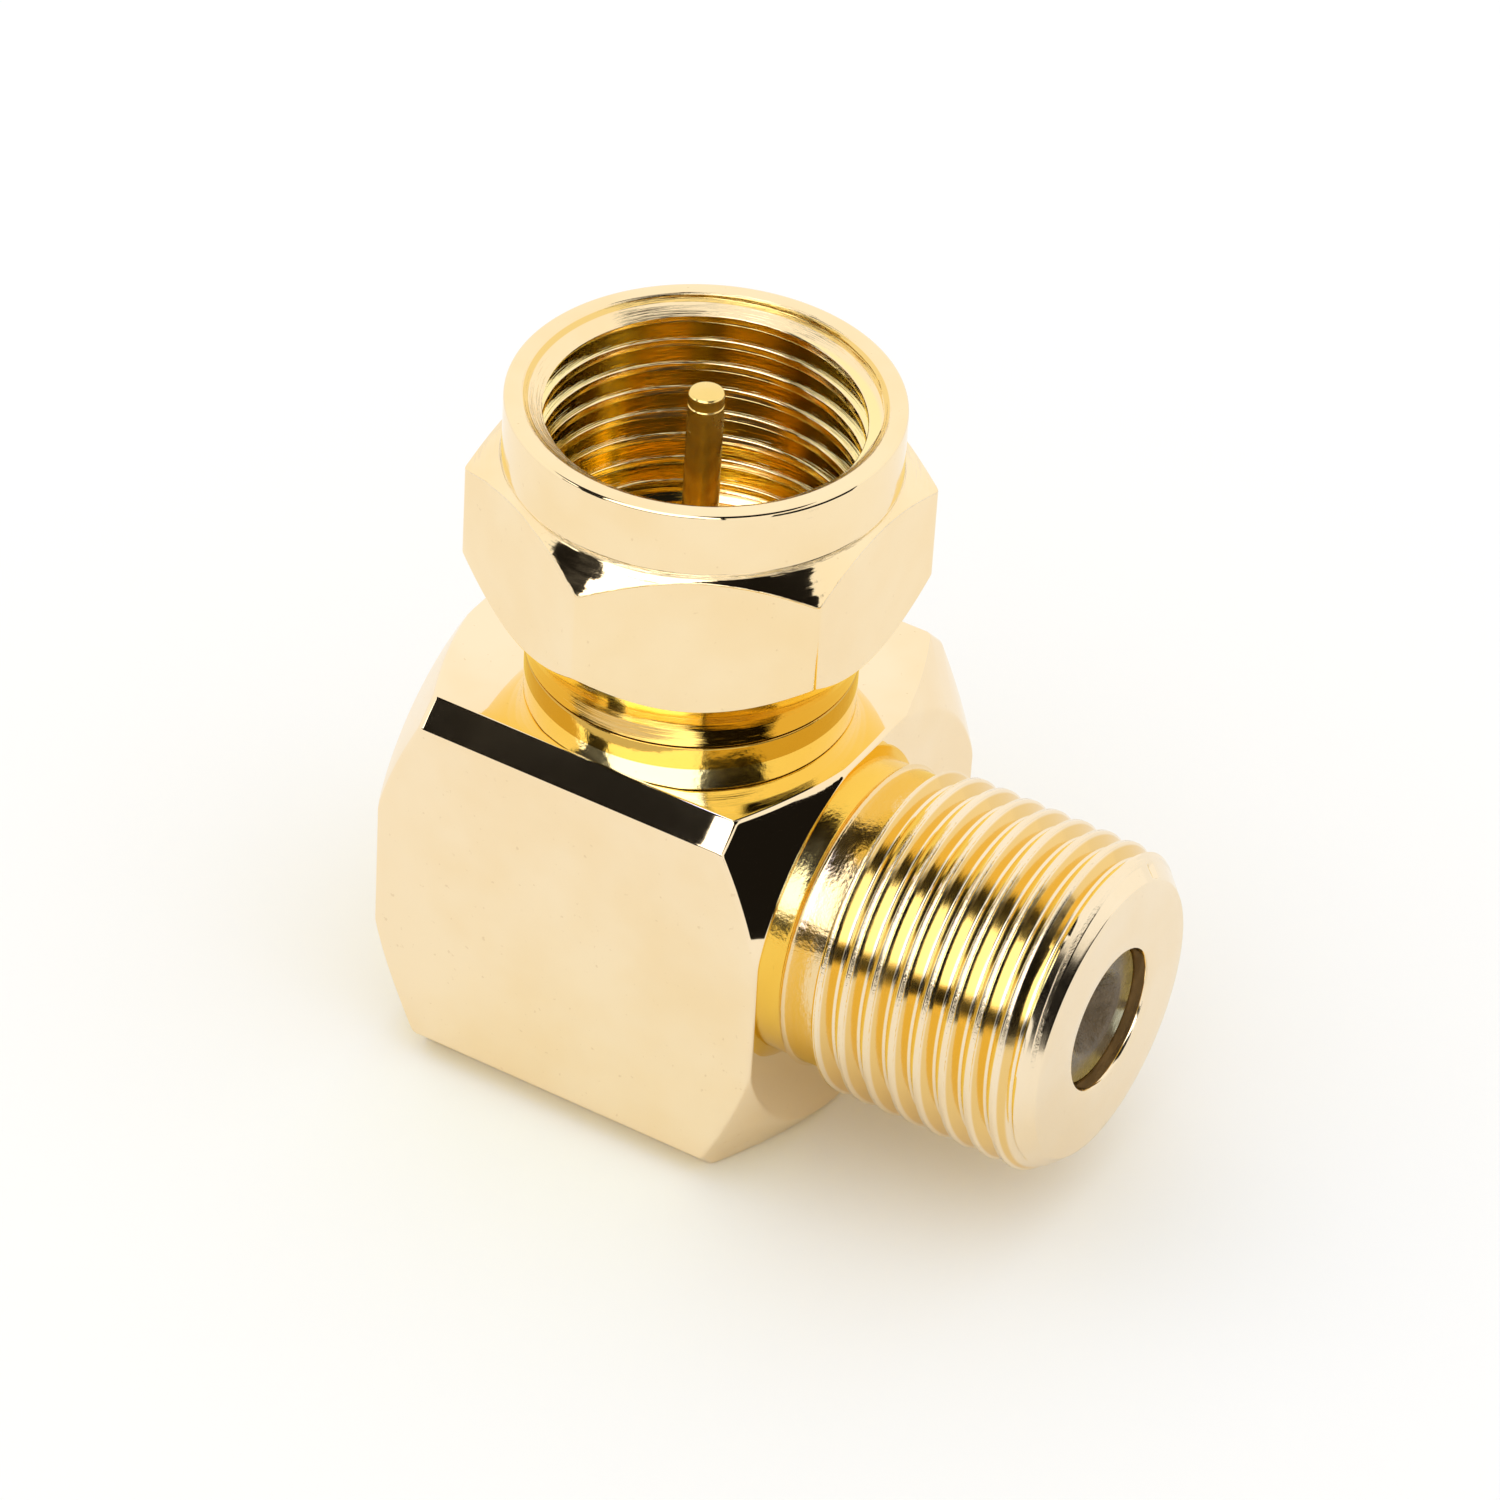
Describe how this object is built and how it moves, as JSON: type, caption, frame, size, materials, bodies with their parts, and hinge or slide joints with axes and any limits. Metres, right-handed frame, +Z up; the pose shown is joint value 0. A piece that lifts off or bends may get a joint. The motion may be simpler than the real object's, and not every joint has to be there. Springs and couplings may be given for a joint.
{
  "type": "right-angle coaxial adapter",
  "caption": "Gold-plated right-angle coaxial adapter: square block elbow, threaded female jack on one side and a male port with a captive hex coupling nut on top.",
  "frame": {"origin": "centre of the block's underside directly below the male port's axis", "axes": "+Z up along the male port and its nut, +X out of the threaded female jack, +Y to the back; the jack axis is 6.13 mm above the origin"},
  "size_m": [0.0202, 0.0128, 0.0214],
  "materials": {
    "gold_plate_body": "bright gold plate on turned brass, polished flats",
    "gold_plate_jack": "bright gold plate on a turned and threaded brass barrel",
    "gold_plate_nut": "bright gold plate, polished flats and turned cones",
    "gold_plate_inner": "gold plate on turned brass",
    "gold_plate_contact": "gold-plated contact alloy",
    "spring_clip": "spring wire, plain",
    "solder": "smooth solder fillet",
    "insulator_plastic": "smooth grey-brown moulded plastic"
  },
  "bodies": {
    "body": {"elbow_body": "gold_plate_body", "jack_barrel": "gold_plate_jack", "male_post": "gold_plate_inner", "centre_pin": "gold_plate_contact", "male_insulator": "insulator_plastic", "female_contact": "gold_plate_contact", "solder_joint": "solder", "jack_insulator_rear": "insulator_plastic", "jack_insulator_front": "insulator_plastic", "rear_plug": "gold_plate_body"},
    "clip": {"retaining_ring": "spring_clip"},
    "nut": {"coupling_nut": "gold_plate_nut"}
  },
  "joints": [
    {"name": "nut_float", "type": "slide", "parent": "body", "child": "clip", "axis": [0, 0, 1], "range_m": [0, 0.0003]},
    {"name": "nut_spin", "type": "hinge", "parent": "clip", "child": "nut", "pos_m": [0, 0, 0.0135], "axis": [0, 0, 1], "continuous": true}
  ]
}
